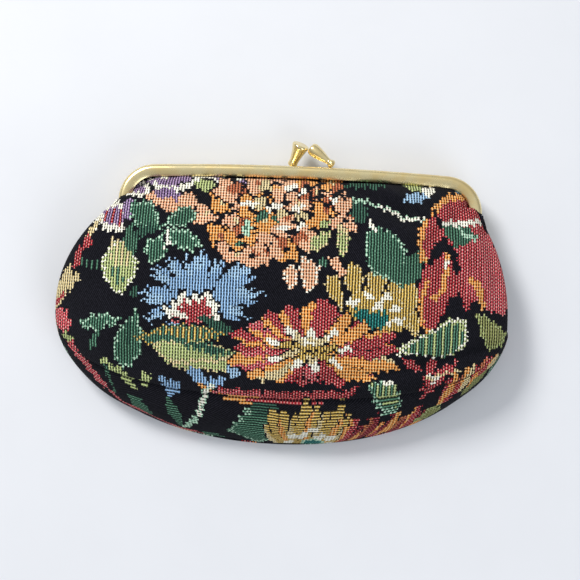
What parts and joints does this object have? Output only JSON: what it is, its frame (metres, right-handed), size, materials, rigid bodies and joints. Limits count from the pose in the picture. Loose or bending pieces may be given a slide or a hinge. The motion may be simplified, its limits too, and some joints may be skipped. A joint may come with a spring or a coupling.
{
  "type": "kiss-lock coin purse",
  "caption": "Small gusseted coin purse in floral tapestry on a hinged brass frame with a kiss-lock clasp, lying on its back",
  "frame": {"origin": "middle of the base: the surface that the back panel lies on", "axes": "+X along the frame's bar, +Y from the foot of the bag to the clasp, +Z out of the front panel"},
  "size_m": [0.1284, 0.0866, 0.0245],
  "materials": {
    "brass": "bright brass plate, polished, lightly worn",
    "tapestry": "jacquard-woven floral tapestry on a near-black ground",
    "lining": "smooth dark lining cloth",
    "interlining": "thin white non-woven interlining",
    "paper": "twisted kraft paper"
  },
  "bodies": {
    "back": {"back_frame": "brass", "hinge_rivet_left": "brass", "hinge_rivet_right": "brass", "back_paper_cord": "paper", "back_panel": "tapestry", "back_interlining": "interlining", "back_lining": "lining", "gusset": "tapestry", "gusset_lining": "lining", "front_panel_lower": "tapestry"},
    "front": {"front_frame": "brass", "front_paper_cord": "paper", "front_panel_upper": "tapestry", "front_interlining": "interlining", "front_lining": "lining"},
    "clasp_left": {"clasp_arm_left": "brass"},
    "clasp_right": {"clasp_arm_right": "brass"}
  },
  "joints": [
    {"name": "frame_hinge", "type": "hinge", "parent": "back", "child": "front", "pos_m": [0.004, -0.01075, 0.0069], "axis": [1, 0, 0], "range_deg": [0, 75], "deforming": ["front_panel_upper", "front_interlining", "front_lining"]},
    {"name": "clasp_left_flex", "type": "hinge", "parent": "back", "child": "clasp_left", "pos_m": [0.0011, 0.0362, 0.00455], "axis": [0, 0, 1], "range_deg": [0, 8], "stiffness_Nm_per_rad": 0.5},
    {"name": "clasp_right_flex", "type": "hinge", "parent": "front", "child": "clasp_right", "pos_m": [0.013, 0.0362, 0.00925], "axis": [0, 0, -1], "range_deg": [0, 8], "stiffness_Nm_per_rad": 0.5}
  ]
}
